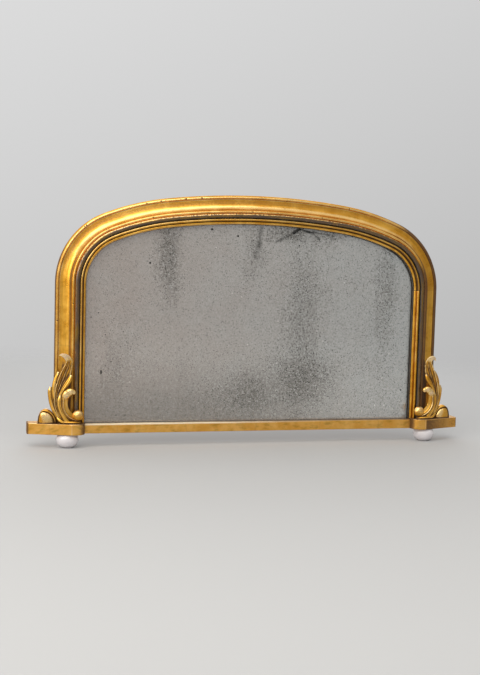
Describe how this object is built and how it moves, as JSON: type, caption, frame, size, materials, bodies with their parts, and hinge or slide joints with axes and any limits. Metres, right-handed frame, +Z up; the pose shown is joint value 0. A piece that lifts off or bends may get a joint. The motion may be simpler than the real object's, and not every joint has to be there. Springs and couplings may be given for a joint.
{
  "type": "overmantel mirror",
  "caption": "Low arched giltwood wall mirror with a moulded frame, foxed plate, long base with projecting ends, leaf and scroll ornaments and white bun feet.",
  "frame": {"origin": "on the shelf line, under the middle of the box: the plane of the soles of the feet, half way across and half way from front to back", "axes": "+X to the right as seen from the front, +Y towards the wall, +Z up; the mirror faces -Y"},
  "size_m": [1.07, 0.07, 0.5928],
  "materials": {
    "gilt_moulding": "gold leaf on red bole and gesso over pine, worn; ebonised torus",
    "gilt_slip": "gold leaf on gesso over pine, worn",
    "gilt_base": "matt oil gilding over pine, rubbed at the edges",
    "gilt_carving": "burnished gold leaf over carved wood, dark in the hollows",
    "plate_glass": "old polished plate",
    "silver": "tin and mercury film, foxed and speckled",
    "pine_softwood": "rough sawn, darkened with age",
    "iron": "dull, lightly rusted",
    "porcelain": "clear glaze over white body",
    "brass": "dulled"
  },
  "bodies": {
    "mirror": {"stile_left": "gilt_moulding", "stile_right": "gilt_moulding", "corner_left": "gilt_moulding", "corner_right": "gilt_moulding", "shoulder_left": "gilt_moulding", "shoulder_right": "gilt_moulding", "crown": "gilt_moulding", "slip_left": "gilt_slip", "slip_right": "gilt_slip", "slip_corner_left": "gilt_slip", "slip_corner_right": "gilt_slip", "slip_shoulder_left": "gilt_slip", "slip_shoulder_right": "gilt_slip", "slip_crown": "gilt_slip", "base_rail": "gilt_base", "base_block_left": "gilt_base", "base_block_right": "gilt_base", "leaf_left": "gilt_carving", "leaf_right": "gilt_carving", "scroll_left": "gilt_carving", "scroll_right": "gilt_carving", "mound_left": "gilt_carving", "mound_right": "gilt_carving", "mirror_glass": "plate_glass", "silvering": "silver", "glazing_blocks": "pine_softwood", "backboard_bottom": "pine_softwood", "backboard_middle": "pine_softwood", "backboard_top": "pine_softwood", "joint_dowels": "pine_softwood", "backboard_nails": "iron", "stile_screws": "iron", "foot_screws": "iron", "foot_left": "porcelain", "foot_right": "porcelain", "hanger_strap_left": "brass", "hanger_strap_right": "brass", "hanger_screws": "brass"},
    "hanging_ring_left": {"hanger_ring_left": "brass"},
    "hanging_ring_right": {"hanger_ring_right": "brass"}
  },
  "joints": [
    {"name": "ring_left_swing", "type": "hinge", "parent": "mirror", "child": "hanging_ring_left", "pos_m": [-0.45, 0.03196, 0.36], "axis": [1, 0, 0], "range_deg": [0, 180]},
    {"name": "ring_right_swing", "type": "hinge", "parent": "mirror", "child": "hanging_ring_right", "pos_m": [0.45, 0.03196, 0.36], "axis": [1, 0, 0], "range_deg": [0, 180]}
  ]
}
